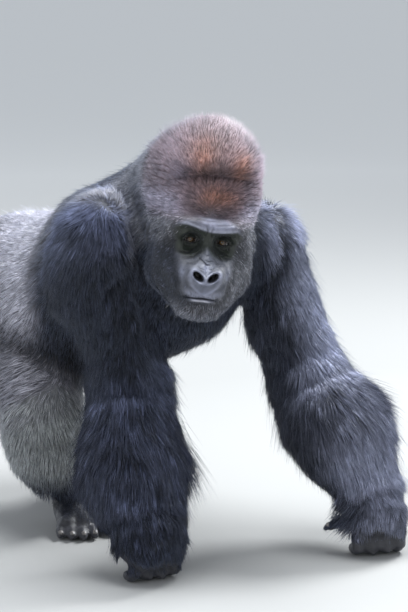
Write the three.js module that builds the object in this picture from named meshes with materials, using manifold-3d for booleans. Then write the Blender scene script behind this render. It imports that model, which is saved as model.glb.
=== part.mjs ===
// A silverback western lowland gorilla, life size, walking on its knuckles.
// Millimetres, +Z up. It faces -Y, so its right side is -X. The outline is that of the coat.
import * as THREE from "three";
import { mergeVertices } from "three/addons/utils/BufferGeometryUtils.js";
import Module from "manifold-3d";

const wasm = await Module();
wasm.setup();

const GAP = 0.3; // between two pieces that meet
const FLOOR = 0;
const BLEND = 46; // how softly one muscle runs into the next
const at = (x, y, z) => new THREE.Vector3(x, y, z);
const degrees = THREE.MathUtils.degToRad;

// ---------- Pose: where the joints are ----------
const joints = {
  right: {
    shoulder: at(-245, -181, 773),
    elbow: at(-153, -139, 399),
    wrist: at(-226, -310, 126),
    knuckles: at(-228, -358, 0), // the middle of the row, at its front
    hip: at(-165, 415, 570),
    knee: at(-219, 78, 340),
    ankle: at(-84, 182, 85),
  },
  left: {
    shoulder: at(188, -192, 702),
    elbow: at(300, -245, 372),
    wrist: at(306, -464, 122),
    knuckles: at(298, -506, 0),
    hip: at(70, 410, 565),
    knee: at(132, 215, 312),
    ankle: at(150, 425, 88),
  },
};
const headings = { // which way each hand's back and each foot points
  right: { hand: at(-0.13, -0.99, 0), foot: at(-0.44, -0.9, 0) },
  left: { hand: at(-0.39, -0.92, 0), foot: at(0.16, -0.99, 0) },
};
const head = {
  eyes: at(-214.5, -509.5, 780), // the point between the pupils
  yaw: degrees(-32), // turned to its right
  nod: degrees(0),
  roll: degrees(7.5), // crown towards its left shoulder
};

// ---------- Distance fields ----------
// Each shape is a function that gives a point's distance to its surface, below 0 inside.
function ball(centre, radii, turn = 0) {
  const cosine = Math.cos(degrees(turn));
  const sine = Math.sin(degrees(turn));
  return (p) => {
    const x = p.x - centre.x;
    const back = p.y - centre.y;
    const up = p.z - centre.z;
    const y = back * cosine + up * sine; // turn pitches the shape nose down
    const z = up * cosine - back * sine;
    const far = Math.hypot(x / radii[0], y / radii[1], z / radii[2]);
    const steep = Math.hypot(x / radii[0] ** 2, y / radii[1] ** 2, z / radii[2] ** 2);
    return steep < 1e-9 ? -Math.min(...radii) : (far * (far - 1)) / steep;
  };
}

function limb(start, end, startRadius, endRadius) {
  const line = end.clone().sub(start);
  const length = line.length();
  const unit = line.clone().divideScalar(length);
  const slope = (startRadius - endRadius) / length;
  const lean = Math.sqrt(1 - slope * slope);
  const offset = at(0, 0, 0);
  return (p) => {
    offset.copy(p).sub(start);
    const along = offset.dot(unit);
    const across = Math.sqrt(Math.max(offset.lengthSq() - along * along, 0));
    const shifted = along - (across * slope) / lean;
    if (shifted <= 0) return Math.hypot(along, across) - startRadius;
    if (shifted >= length) return Math.hypot(along - length, across) - endRadius;
    return across * lean + along * slope - startRadius;
  };
}

function softest(a, b, softness) {
  const h = Math.max(softness - Math.abs(a - b), 0) / softness;
  return Math.min(a, b) - (h * h * h * softness) / 6;
}

const joined = (shapes, softness = BLEND) => (p) =>
  shapes.reduce((least, shape) => softest(least, shape(p), softness), 1e6);
const hollowed = (field, hollows, softness) => (p) =>
  hollows.reduce((most, hollow) => -softest(-most, hollow(p), softness), field(p));

// ---------- Surfaces from fields ----------
function surfaceAlong(field, start, direction, reach) {
  const p = at(0, 0, 0);
  const value = (r) => field(p.copy(direction).multiplyScalar(r).add(start));
  const step = reach / 60;
  let inside = 0;
  while (inside < reach && value(inside + step) < 0) inside += step;
  let outside = inside + step;
  for (let i = 0; i < 18; i += 1) {
    const middle = (inside + outside) / 2;
    if (value(middle) < 0) inside = middle;
    else outside = middle;
  }
  return start.clone().addScaledVector(direction, inside);
}

// Wraps a curve: rays leave it square on, and fan out round its two ends.
function wrapped(field, curve, { around, along, fan = 3, reach = 320, up = at(0, 0, 1) }) {
  const rows = along + 2 * fan;
  const geometry = new THREE.SphereGeometry(1, around, rows);
  const position = geometry.attributes.position;
  for (let i = 0; i < position.count; i += 1) {
    const row = Math.floor(i / (around + 1));
    const turn = ((i % (around + 1)) / around) * 2 * Math.PI;
    const t = THREE.MathUtils.clamp((row - fan) / along, 0, 1);
    const start = curve.getPointAt(t);
    const tangent = curve.getTangentAt(t);
    const side = up.clone().cross(tangent).normalize();
    const over = tangent.clone().cross(side);
    let tilt = 0;
    if (row < fan) tilt = -(1 - row / fan) * (Math.PI / 2);
    if (row > rows - fan) tilt = (1 - (rows - row) / fan) * (Math.PI / 2);
    const direction = side
      .multiplyScalar(Math.cos(turn))
      .addScaledVector(over, Math.sin(turn))
      .multiplyScalar(Math.cos(tilt))
      .addScaledVector(tangent, Math.sin(tilt));
    const p = surfaceAlong(field, start, direction, reach);
    position.setXYZ(i, p.x, p.y, p.z);
  }
  return solid(geometry);
}

const curveThrough = (...points) => new THREE.CatmullRomCurve3(points, false, "centripetal");

// ---------- Solids ----------
function solid(geometry) {
  const bare = geometry.clone();
  bare.deleteAttribute("normal");
  bare.deleteAttribute("uv");
  const merged = mergeVertices(bare, 1e-3);
  const build = (triVerts) =>
    new wasm.Manifold(
      new wasm.Mesh({ numProp: 3, vertProperties: merged.attributes.position.array, triVerts }),
    );
  const triangles = new Uint32Array(merged.index.array);
  const made = build(triangles);
  return made.volume() > 0 ? made : build(triangles.reverse());
}

// What is left of a shape a gap clear of another.
function clearOf(shape, other) {
  const { vertProperties, triVerts } = other.getMesh();
  const geometry = new THREE.BufferGeometry()
    .setAttribute("position", new THREE.BufferAttribute(vertProperties, 3))
    .setIndex(new THREE.BufferAttribute(triVerts, 1));
  geometry.computeVertexNormals();
  const { normal } = geometry.attributes;
  const larger = vertProperties.map((value, i) => value + normal.array[i] * GAP);
  const room = new wasm.Mesh({ numProp: 3, vertProperties: larger, triVerts });
  return shape.subtract(new wasm.Manifold(room)).subtract(other);
}

function halfSpace(point, normal) {
  const size = 5000;
  const box = new THREE.BoxGeometry(size, size, size).translate(0, 0, size / 2);
  const turn = new THREE.Quaternion().setFromUnitVectors(at(0, 0, 1), normal.clone().normalize());
  return solid(box.applyQuaternion(turn).translate(point.x, point.y, point.z));
}

// The part of a whole that lies past a plane, half a gap clear of it.
function beyond(whole, point, normal) {
  const unit = normal.clone().normalize();
  return whole.intersect(halfSpace(point.clone().addScaledVector(unit, GAP / 2), unit));
}

const above = (whole, height = FLOOR) =>
  whole.intersect(halfSpace(at(0, 0, height), at(0, 0, 1)));

function largest(whole) {
  return whole.decompose().reduce((a, b) => (b.volume() > a.volume() ? b : a));
}

// ---------- Head ----------
const headFrame = new THREE.Matrix4()
  .makeRotationFromEuler(new THREE.Euler(head.nod, head.roll, head.yaw, "ZXY"))
  .setPosition(head.eyes);
const headFrameInverse = headFrame.clone().invert();
const onHead = (x, y, z) => at(x, y, z).applyMatrix4(headFrame); // y runs back from the face
const EYE = { across: 33.5, back: 13, radius: 12 };

const both = (make) => [make(-1), make(1)];

const skull = [
  ball(at(4, 108, 112), [118, 130, 143]), // crown pad over the crest
  ball(at(0, 98, -8), [113, 82, 92]), // temples and the hair in front of the ears
  ball(at(0, 45, 20), [92, 66, 78]),
  limb(at(-66, 8, 30), at(66, 8, 30), 27, 27), // brow ridge
  limb(at(-30, -6, 32), at(30, -6, 32), 26, 26),
  ...both((s) => limb(at(s * 40, 6, -80), at(s * 70, 44, -26), 38, 38)), // cheeks
  ...both((s) => limb(at(s * 24, 10, -128), at(s * 66, 84, -84), 38, 50)), // lower jaw
  ...both((s) => ball(at(s * 62, 78, -66), [50, 64, 60])), // jaw muscles
  ...both((s) => limb(at(s * 18, 10, -14), at(s * 32, -12, -68), 25, 36)), // beside the nose
  ball(at(0, 2, -90), [62, 70, 50]), // muzzle
  ball(at(0, -20, -116), [54, 50, 34]), // lips
  ball(at(0, 0, -138), [54, 52, 32]), // chin
];
const nose = [
  limb(at(0, -6, 8), at(0, -36, -50), 15, 24),
  ...both((s) => ball(at(s * 24, -46, -66), [22, 27, 22])),
  ball(at(0, -50, -70), [19, 26, 22]), // tip
];
const sockets = both((s) => ball(at(s * (EYE.across + 2), -34, -4), [28, 24, 22]));
const headShape = hollowed(joined([joined(skull, 34), joined(nose, 20)], 30), sockets, 26);
const headField = (p) => headShape(p.clone().applyMatrix4(headFrameInverse));

// ---------- Neck and trunk ----------
const neckBase = at(-22, -165, 735);
const neckTop = onHead(-5, 128, 30);
const neck = [
  limb(neckBase, neckTop, 150, 98),
  limb(at(-45, -100, 806), onHead(-28, 158, 116), 98, 116), // nape
];
const trunk = [
  ball(at(-46, 415, 572), [166, 165, 152], -6),
  ball(at(-124, 462, 535), [96, 108, 116], -20), // right buttock
  ball(at(36, 457, 530), [96, 108, 116], -20), // left buttock
  ball(at(-44, 290, 584), [200, 240, 148], -4),
  ball(at(-52, 135, 556), [238, 235, 198], 4), // belly
  ball(at(-46, -10, 628), [215, 245, 208], -5), // rib cage
  ball(at(-44, -200, 622), [142, 114, 140]), // breast
  ball(at(-38, -52, 742), [170, 226, 96], -14), // withers
  ball(at(-150, -70, 748), [114, 160, 102], -10), // right shoulder blade
  ball(at(95, -90, 694), [108, 165, 92], -10), // left shoulder blade
  limb(at(-90, -130, 770), at(-185, -160, 765), 92, 84), // from neck to right shoulder
  limb(at(20, -140, 750), at(146, -178, 702), 96, 92), // from neck to left shoulder
  limb(at(-60, -190, 650), at(-175, -180, 690), 108, 86), // right breast muscle
  limb(at(10, -190, 660), at(118, -186, 676), 100, 78), // left breast muscle
];

// ---------- Limbs ----------
const between = (a, b, t) => a.clone().lerp(b, t);
const moved = (p, x, y, z) => p.clone().add(at(x, y, z));

const arms = {
  right: ({ shoulder, elbow, wrist }) => {
    const fringe = moved(between(elbow, wrist, 0.6), -14, 16, 4); // long hair round the forearm
    return [
      ball(moved(shoulder, 0, 14, -22), [90, 108, 98]), // deltoid
      limb(moved(shoulder, 10, 30, -10), moved(shoulder, 110, 110, -30), 92, 80), // to the blade
      ball(moved(shoulder, 0, 66, -112), [100, 118, 142]), // triceps
      limb(shoulder, moved(elbow, 6, -4, 0), 84, 98),
      limb(moved(elbow, 6, -4, 0), fringe, 100, 122),
      limb(fringe, moved(wrist, -2, 2, 0), 120, 94),
      limb(moved(fringe, 60, -48, 40), moved(fringe, 86, -68, -28), 52, 24), // a tuft at its inner side
    ];
  },
  left: ({ shoulder, elbow, wrist }) => {
    const fringe = moved(between(elbow, wrist, 0.4), 3, -2, 6);
    return [
      ball(moved(shoulder, 12, 2, 0), [96, 112, 104]), // deltoid
      limb(moved(shoulder, -10, 30, -10), moved(shoulder, -100, 110, -20), 92, 80), // to the blade
      ball(moved(between(shoulder, elbow, 0.45), 4, 20, -10), [84, 96, 130]), // triceps
      limb(shoulder, elbow, 86, 92),
      limb(moved(elbow, -8, 6, 0), fringe, 98, 131),
      limb(fringe, moved(wrist, 8, -6, 0), 126, 68),
    ];
  },
};

const legs = {
  right: ({ hip, knee, ankle }) => [
    limb(hip, knee, 148, 90),
    limb(hip, moved(hip, 60, 90, 0), 140, 120), // buttock
    limb(moved(hip, 10, -40, 10), moved(hip, 60, -190, 20), 140, 120), // groin and flank
    limb(moved(between(hip, knee, 0.35), 0, 40, -50), moved(knee, -10, 50, -18), 106, 79), // hamstrings
    limb(knee, moved(between(knee, ankle, 0.42), -28, 30, -10), 88, 94), // calf
    limb(moved(between(knee, ankle, 0.42), -28, 30, -10), moved(ankle, -14, 12, -6), 94, 64),
  ],
  left: ({ hip, knee, ankle }) => [
    limb(hip, knee, 144, 86),
    limb(hip, moved(hip, -60, 90, 0), 140, 120), // buttock
    limb(moved(hip, -10, -40, 10), moved(hip, -60, -190, 20), 140, 120), // groin and flank
    limb(moved(between(hip, knee, 0.35), 0, 34, -40), moved(knee, 0, 40, -10), 98, 70),
    limb(knee, between(knee, ankle, 0.45), 84, 84),
    limb(between(knee, ankle, 0.45), ankle, 84, 50),
  ],
};

// ---------- Hands: four fingers folded under, their middle bones flat on the floor ----------
const FINGERS = [ // from the thumb side: place across the row, thickness, length
  { across: 50, radius: 16, long: 0.94 },
  { across: 16.5, radius: 16.8, long: 1.06 },
  { across: -17.5, radius: 16.4, long: 1 },
  { across: -50, radius: 15.5, long: 0.86 },
];

function frameOf(origin, forward, side) {
  const ahead = forward.clone().normalize();
  const inner = at(-ahead.y, ahead.x, 0).multiplyScalar(side === "right" ? 1 : -1); // to the thumb or big toe
  return (f, m, z) => origin.clone().addScaledVector(ahead, f).addScaledVector(inner, m).setZ(z);
}

// A finger or toe: one tube round the bend of its bones.
function digit([base, knuckle, end], radius) {
  const field = joined(
    [limb(base, knuckle, radius, radius), limb(knuckle, end, radius, radius * 0.88)],
    10,
  );
  const bend = curveThrough(
    base,
    between(base, knuckle, 0.72),
    between(knuckle, end, 0.3).lerp(between(base, knuckle, 0.8), 0.2),
    end,
  );
  const up = base.clone().sub(knuckle).cross(end.clone().sub(knuckle)).normalize();
  return wrapped(field, bend, { around: 7, along: 5, fan: 2, reach: 40, up });
}

// A nail lies across the top of a digit and is cut to fit it.
function nail(centre, forward, up, size, digit) {
  const z = up.clone().normalize();
  const x = forward.clone().cross(z).normalize();
  const turn = new THREE.Matrix4().makeBasis(x, z.clone().cross(x), z);
  const plate = new THREE.SphereGeometry(1, 6, 3, Math.PI / 6).rotateX(Math.PI / 2).scale(...size);
  return clearOf(solid(plate.applyMatrix4(turn).translate(centre.x, centre.y, centre.z)), digit);
}

// ---------- Assembly ----------
const nodes = new Map();
const keep = (name, shape, look) => nodes.set(name, { shape: largest(shape), look });

const bodyField = joined([joined(trunk, 90), joined(neck, 60), headField], 60);
const spine = curveThrough(
  at(-46, 470, 585),
  at(-42, 300, 610),
  at(-30, 80, 640),
  at(-20, -120, 690),
  between(neckBase, neckTop, 0.4),
  neckTop,
);
const torso = wrapped(bodyField, spine, { around: 24, along: 18, fan: 3, reach: 340 });
const neckCut = { point: between(neckBase, neckTop, 0.3), normal: neckTop.clone().sub(neckBase) };
const headCut = { point: onHead(0, 148, 20), normal: onHead(0, 148, 20).sub(onHead(0, 108, 24)) };
const hipCut = { point: at(-42, 285, 600), normal: at(0.05, 1, -0.1) };
const chestCut = { point: at(-25, 75, 600), normal: at(0.05, 1, -0.1) };
const back = (n) => n.clone().negate();

const trunkWhole = beyond(torso, neckCut.point, back(neckCut.normal));
keep("chest", beyond(trunkWhole, chestCut.point, back(chestCut.normal)), "coat");
keep(
  "belly",
  beyond(beyond(trunkWhole, chestCut.point, chestCut.normal), hipCut.point, back(hipCut.normal)),
  "saddle",
);
keep("rump", beyond(trunkWhole, hipCut.point, hipCut.normal), "saddle");
keep(
  "neck",
  beyond(beyond(torso, neckCut.point, neckCut.normal), headCut.point, headCut.normal),
  "coat",
);

// Rays from inside the head, its rows closest together round the nose.
function headSolid() {
  const around = 38;
  const rows = 29;
  const towardsNose = degrees(28);
  const centre = at(0, 78, 18);
  const geometry = new THREE.SphereGeometry(1, around, rows);
  const position = geometry.attributes.position;
  for (let i = 0; i < position.count; i += 1) {
    const row = Math.floor(i / (around + 1)) / rows;
    const turn = ((i % (around + 1)) / around) * 2 * Math.PI;
    const open = Math.PI * (0.52 * row + 0.48 * row ** 2.4);
    const across = Math.sin(open);
    const way = at(across * Math.cos(turn), -Math.cos(open), across * Math.sin(turn));
    way.applyAxisAngle(at(1, 0, 0), towardsNose);
    const start = centre.clone().applyMatrix4(headFrame);
    const p = surfaceAlong(bodyField, start, way.transformDirection(headFrame), 280);
    position.setXYZ(i, p.x, p.y, p.z);
  }
  return solid(geometry);
}

let headWhole = beyond(headSolid(), headCut.point, back(headCut.normal));
for (const [side, s] of [["right", -1], ["left", 1]]) {
  const centre = onHead(s * EYE.across, EYE.back, 0);
  const eyeball = (radius) =>
    solid(new THREE.SphereGeometry(radius, 12, 6).translate(centre.x, centre.y, centre.z));
  const hollow = (across, backward, up, radii) => {
    const cut = new THREE.SphereGeometry(1, 10, 6).scale(...radii);
    headWhole = headWhole.subtract(
      solid(cut.translate(s * across, backward, up).applyMatrix4(headFrame)),
    );
  };
  hollow(EYE.across + 1, -9, 0, [23, 19, 12]); // between the lids
  hollow(18, -72, -68, [9.5, 15, 8]); // nostril
  headWhole = headWhole.subtract(eyeball(EYE.radius + GAP));
  keep(`eye_${side}`, eyeball(EYE.radius), "eye");

  const lobe = ball(at(s * 109, 96, -10), [13, 22, 29]);
  const ear = hollowed(lobe, [ball(at(s * 120, 85, -8), [10, 11, 16])], 6);
  const earField = (p) => ear(p.clone().applyMatrix4(headFrameInverse));
  const earCurve = new THREE.LineCurve3(onHead(s * 105, 96, -24), onHead(s * 105, 96, 4));
  const earShape = wrapped(earField, earCurve, { around: 10, along: 2, fan: 2, reach: 60, up: at(0, 1, 0) });
  keep(`ear_${side}`, clearOf(earShape, headWhole), "skin");
}
keep("head", headWhole, "crown");

function handOf(side) {
  const { elbow, wrist, knuckles } = joints[side];
  const place = frameOf(knuckles, headings[side].hand, side);
  const low = side === "right" ? 76 : 80;
  const thick = side === "right" ? [93, 52] : [70, 40]; // the right one is deeper in hair
  const halves = (side === "right" ? [-41, 41] : [-34, 34]).map((across) =>
    limb(wrist, place(-28, across, low), ...thick),
  );
  let whole = wrapped(joined(halves, 20), new THREE.LineCurve3(wrist, place(-28, 0, low)), {
    around: 14, along: 2, fan: 2, reach: 140, up: at(0, 1, 0),
  });
  for (const { across, radius, long } of FINGERS) {
    const on = (f, z) => place(f - radius, across, z);
    whole = whole.add(digit([on(-18, 76), on(-3, radius - 4), on(-46 * long, radius - 4)], radius));
  }
  return above(beyond(whole, wrist, wrist.clone().sub(elbow)));
}

function thumbOf(side) {
  const { elbow, wrist } = joints[side];
  const place = frameOf(joints[side].knuckles, headings[side].hand, side);
  const [root, middle, tip] =
    side === "left"
      ? [place(-40, 36, 104), place(-52, 78, 84), place(-58, 110, 66)] // held out
      : [place(-72, 40, 92), place(-100, 56, 66), place(-106, 60, 42)]; // held in, behind the palm
  const field = joined([limb(root, middle, 26, 17), limb(middle, tip, 16, 11)], 16);
  const shape = wrapped(field, curveThrough(root, middle, tip), {
    around: 9, along: 3, fan: 2, reach: 60, up: at(0.2, 1, 0.1),
  });
  const way = tip.clone().sub(middle).normalize();
  return { shape: beyond(shape, wrist, wrist.clone().sub(elbow)), tip, way };
}

// ---------- Feet, flat on the floor ----------
const TOES = [ // from the inner side: where the tip is, ahead and across, and thickness
  { ahead: 226, across: 27, radius: 12.5 },
  { ahead: 231, across: 1, radius: 12.5 },
  { ahead: 222, across: -24, radius: 12 },
  { ahead: 206, across: -48, radius: 11.5 },
];

function footOf(side) {
  const { ankle } = joints[side];
  const place = frameOf(ankle.clone().setZ(0), headings[side].foot, side);
  const on = (f, m, z) => place(f - 48, m, z); // f runs from the heel
  const shapes = [
    ball(on(30, 0, 36), [38, 38, 38]),
    limb(on(50, 0, 70), on(120, 2, 34), 40, 32),
    limb(on(36, -14, 30), on(158, -30, 22), 28, 24),
    limb(on(36, 12, 32), on(160, 20, 24), 30, 26),
    limb(on(48, 0, 70), ankle.clone().setZ(130), 46, 50),
  ];
  let whole = wrapped(
    joined(shapes, 24),
    curveThrough(on(30, 0, 40), on(90, 0, 36), on(165, -5, 24)),
    { around: 14, along: 5, fan: 2, reach: 130, up: at(0, 0, 1) },
  );
  for (const { ahead, across, radius } of TOES) {
    const bones = [
      on(ahead - 62, across * 0.92, radius + 6),
      on(ahead - 32, across, radius + 4),
      on(ahead - radius, across * 1.05, radius - 1),
    ];
    whole = whole.add(digit(bones, radius));
  }
  return above(beyond(whole, ankle, at(0, 0, -1)));
}

function bigToeOf(side) {
  const place = frameOf(joints[side].ankle.clone().setZ(0), headings[side].foot, side);
  const [root, middle, tip] = [place(45, 34, 27), place(96, 66, 20), place(136, 78, 16)];
  const field = joined([limb(root, middle, 27, 20), limb(middle, tip, 20, 17)], 14);
  const shape = wrapped(field, curveThrough(root, middle, tip), {
    around: 9, along: 3, fan: 2, reach: 60, up: at(0, 0, 1),
  });
  return { shape: above(shape), tip, way: tip.clone().sub(middle).normalize() };
}

for (const side of ["right", "left"]) {
  const { shoulder, elbow, wrist, hip, knee, ankle } = joints[side];
  const armTop = side === "right" ? moved(shoulder, 40, 46, -20) : shoulder;
  const arm = wrapped(joined(arms[side](joints[side])), curveThrough(armTop, elbow, wrist), {
    around: 16, along: 10, fan: 3, reach: 240, up: at(0, 1, 0),
  });
  const free = clearOf(arm, torso);
  const elbowBend = elbow.clone().sub(shoulder).normalize().add(wrist.clone().sub(elbow).normalize());
  keep(`upper_arm_${side}`, beyond(free, elbow, back(elbowBend)), "coat");
  keep(
    `forearm_${side}`,
    beyond(beyond(free, elbow, elbowBend), wrist, elbow.clone().sub(wrist)),
    "coat",
  );
  const hand = handOf(side);
  keep(`hand_${side}`, hand, "skin");
  const thumb = thumbOf(side);
  keep(`thumb_${side}`, clearOf(thumb.shape, hand), "skin");
  const thumbUp = side === "left" ? at(-0.3, -0.6, 0.72) : at(0.5, 0.86, 0.1);
  keep(
    `nail_thumb_${side}`,
    nail(thumb.tip.clone().addScaledVector(thumbUp, 8), thumb.way, thumbUp, [8, 11, 5.5], thumb.shape),
    "nail",
  );

  const bend = moved(knee, side === "right" ? 14 : -2, 68, side === "right" ? 4 : 0); // inside the knee's bend
  const wholeLeg = wrapped(joined(legs[side](joints[side])), curveThrough(hip, bend, ankle), {
    around: 13, along: 9, fan: 3, reach: 260, up: at(1, 0, 0),
  });
  const outward = at(side === "right" ? -1 : 1, 0, 0);
  const leg = beyond(clearOf(wholeLeg, torso), at(-46, 0, 0), outward);
  const kneeBend = knee.clone().sub(hip).normalize().add(ankle.clone().sub(knee).normalize());
  keep(`thigh_${side}`, beyond(leg, knee, back(kneeBend)), "saddle");
  keep(`shank_${side}`, beyond(beyond(leg, knee, kneeBend), ankle, at(0, 0, 1)), "coat");

  const foot = footOf(side);
  const place = frameOf(ankle.clone().setZ(0), headings[side].foot, side);
  const ahead = headings[side].foot.clone().normalize();
  const toeUp = at(0, 0, 1).addScaledVector(ahead, 0.5);
  keep(`foot_${side}`, foot, "skin");
  TOES.forEach(({ ahead: far, across, radius }, i) => {
    const top = place(far - radius - 45, across * 1.05, radius * 1.6);
    keep(`nail_toe_${side}_${i + 2}`, nail(top, ahead, toeUp, [7.5, 9, 5], foot), "nail");
  });
  const bigToe = bigToeOf(side);
  keep(`big_toe_${side}`, clearOf(bigToe.shape, foot), "skin");
  const top = bigToe.tip.clone().add(at(0, 0, 12)).addScaledVector(bigToe.way, 5);
  const bigUp = at(0, 0, 1).addScaledVector(bigToe.way, 0.4);
  keep(`nail_toe_${side}_1`, nail(top, bigToe.way, bigUp, [9, 11, 6.5], bigToe.shape), "nail");
}

// ---------- Scene graph ----------
const looks = {
  coat: { color: 0x2b2d34, roughness: 0.85, metalness: 0 },
  saddle: { color: 0x77777c, roughness: 0.85, metalness: 0 },
  crown: { color: 0x6a4a3c, roughness: 0.85, metalness: 0 },
  skin: { color: 0x26262b, roughness: 0.6, metalness: 0 },
  eye: { color: 0x2a1408, roughness: 0.1, metalness: 0 },
  nail: { color: 0x8c8790, roughness: 0.45, metalness: 0 },
};
const gorilla = new THREE.Group();
const bounds = new THREE.Box3();
for (const [name, { shape, look }] of nodes) {
  const { vertProperties, triVerts } = shape.getMesh();
  const geometry = new THREE.BufferGeometry()
    .setAttribute("position", new THREE.BufferAttribute(vertProperties, 3))
    .setIndex(new THREE.BufferAttribute(triVerts, 1));
  geometry.computeVertexNormals();
  geometry.computeBoundingBox();
  bounds.union(geometry.boundingBox);
  const mesh = new THREE.Mesh(geometry, new THREE.MeshStandardMaterial(looks[look]));
  mesh.name = name;
  gorilla.add(mesh);
}
// The origin is on the floor, under the middle of the whole.
const middle = bounds.getCenter(at(0, 0, 0));
for (const mesh of gorilla.children) mesh.geometry.translate(-middle.x, -middle.y, -bounds.min.z);

export default gorilla;
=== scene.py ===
# A life-size silverback gorilla walking on its knuckles: skin, coat, eyes and nails over the frame.
import math

import bmesh
import bpy
import numpy as np
from mathutils import Matrix, Vector
from mathutils.bvhtree import BVHTree


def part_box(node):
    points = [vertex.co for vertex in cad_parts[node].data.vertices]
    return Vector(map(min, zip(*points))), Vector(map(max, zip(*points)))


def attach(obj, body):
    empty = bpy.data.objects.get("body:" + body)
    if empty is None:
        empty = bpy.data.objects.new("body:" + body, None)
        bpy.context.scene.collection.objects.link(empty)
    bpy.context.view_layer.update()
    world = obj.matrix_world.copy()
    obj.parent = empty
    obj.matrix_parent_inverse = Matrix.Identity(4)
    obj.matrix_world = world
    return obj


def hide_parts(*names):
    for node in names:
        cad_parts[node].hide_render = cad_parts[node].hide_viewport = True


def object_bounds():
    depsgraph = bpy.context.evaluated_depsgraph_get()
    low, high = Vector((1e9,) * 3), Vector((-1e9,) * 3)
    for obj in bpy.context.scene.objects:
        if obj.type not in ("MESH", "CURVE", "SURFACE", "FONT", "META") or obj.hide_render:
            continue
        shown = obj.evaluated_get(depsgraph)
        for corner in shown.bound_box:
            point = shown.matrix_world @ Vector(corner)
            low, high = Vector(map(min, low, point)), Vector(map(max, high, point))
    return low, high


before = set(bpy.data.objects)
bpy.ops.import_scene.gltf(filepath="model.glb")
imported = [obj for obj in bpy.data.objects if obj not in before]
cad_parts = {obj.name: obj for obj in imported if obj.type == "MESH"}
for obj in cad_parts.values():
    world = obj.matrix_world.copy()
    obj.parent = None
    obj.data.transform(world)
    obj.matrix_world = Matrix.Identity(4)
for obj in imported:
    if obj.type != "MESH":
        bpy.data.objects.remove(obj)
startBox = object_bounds()
rng = np.random.default_rng(11)
scene = bpy.context.scene
mm = 0.001


def unit(v):
    return v / np.maximum(np.linalg.norm(v, axis=-1, keepdims=True), 1e-9)


def ease(value, low, high):
    t = np.clip((value - low) / (high - low), 0, 1)
    return t * t * (3 - 2 * t)


def hill(value, centre, width):
    return np.exp(-(((value - centre) / width) ** 2))


# Landmarks: the head's own axes, and the joints as the part names them.
head = {"turn": -32, "tilt": 7.5, "eyeSide": 33.5, "eyeDepth": 13}  # degrees, and mm from its own middle
faceAside = 1  # mm between the face's middle and the head's
stanceHead = np.array([-214.5, -509.5, 780])  # where the stance below has the head's middle
eyeCentre = {s: np.mean([list(c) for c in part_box(f"eye_{s}")], axis=0) for s in ("right", "left")}
headTurn = Matrix.Rotation(math.radians(head["turn"]), 3, "Z")
headTurn = headTurn @ Matrix.Rotation(math.radians(head["tilt"]), 3, "Y")
headAxes = np.array(headTurn)  # columns: to its left, back, up
headOrigin = (eyeCentre["right"] + eyeCentre["left"]) / 2 - headAxes[:, 1] * head["eyeDepth"] * mm
stanceShift = headOrigin - stanceHead * mm


def onHead(x, y, z):
    return headOrigin + headAxes @ (np.array([x, y, z]) * mm)


def toHead(points):
    return (points - headOrigin) @ headAxes / mm


def stance(x, y, z):
    return np.array([x, y, z]) * mm + stanceShift


joints = {
    "right": {
        "shoulder": stance(-245, -181, 773), "elbow": stance(-153, -139, 399),
        "wrist": stance(-226, -310, 126), "knuckles": stance(-228, -358, 0),
        "hip": stance(-165, 415, 570), "knee": stance(-219, 78, 340), "ankle": stance(-84, 182, 85),
    },
    "left": {
        "shoulder": stance(188, -192, 702), "elbow": stance(300, -245, 372),
        "wrist": stance(306, -464, 122), "knuckles": stance(298, -506, 0),
        "hip": stance(70, 410, 565), "knee": stance(132, 215, 312), "ankle": stance(150, 425, 88),
    },
}


# Mesh helpers.
def pointsOf(mesh):
    flat = np.empty(len(mesh.vertices) * 3, np.float32)
    mesh.vertices.foreach_get("co", flat)
    return flat.reshape(-1, 3).astype(float)


def setPoints(mesh, points):
    mesh.vertices.foreach_set("co", points.astype(np.float32).ravel())
    mesh.update()


def normalsOf(mesh):
    flat = np.empty(len(mesh.vertices) * 3, np.float32)
    mesh.vertex_normals.foreach_get("vector", flat)
    return flat.reshape(-1, 3).astype(float)


def edgesOf(mesh):
    flat = np.empty(len(mesh.edges) * 2, np.int32)
    mesh.edges.foreach_get("vertices", flat)
    return flat.reshape(-1, 2)


def relax(values, edges, times, amount=0.5):
    count = np.maximum(np.bincount(edges.ravel(), minlength=len(values)), 1)[:, None]
    a, b = edges.T
    for _ in range(times):
        total = np.stack(
            [
                np.bincount(a, values[b, k], len(values)) + np.bincount(b, values[a, k], len(values))
                for k in range(values.shape[1])
            ],
            1,
        )
        values = values + (total / count - values) * amount
    return values


def newObject(name, mesh):
    made = bpy.data.objects.new(name, mesh)
    scene.collection.objects.link(made)
    return made


def applied(made):  # the mesh as its modifiers leave it
    return bpy.data.meshes.new_from_object(made.evaluated_get(bpy.context.evaluated_depsgraph_get()))


def shadeSmooth(mesh):
    mesh.polygons.foreach_set("use_smooth", np.ones(len(mesh.polygons), bool))


def mark(mesh, name, values):  # a number or a colour at each point
    kind, slot = "FLOAT", "value"
    if values.ndim == 2:
        kind, slot = "FLOAT_COLOR", "color"
        values = np.column_stack([np.clip(values, 0, 1), np.ones(len(values))])
    mesh.attributes.new(name, kind, "POINT").data.foreach_set(slot, values.astype(np.float32).ravel())


# Points near a centre are spread out, so that one voxel size gives that place finer faces.
def magnify(points, centre, radius, times, reach, back=False):
    offset = points - centre
    far = np.linalg.norm(offset, axis=1)
    plain, spread = [0, radius, reach, 99], [0, radius * times, reach, 99]
    new = np.interp(far, spread, plain) if back else np.interp(far, plain, spread)
    return centre + offset * (new / np.maximum(far, 1e-9))[:, None]


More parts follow.
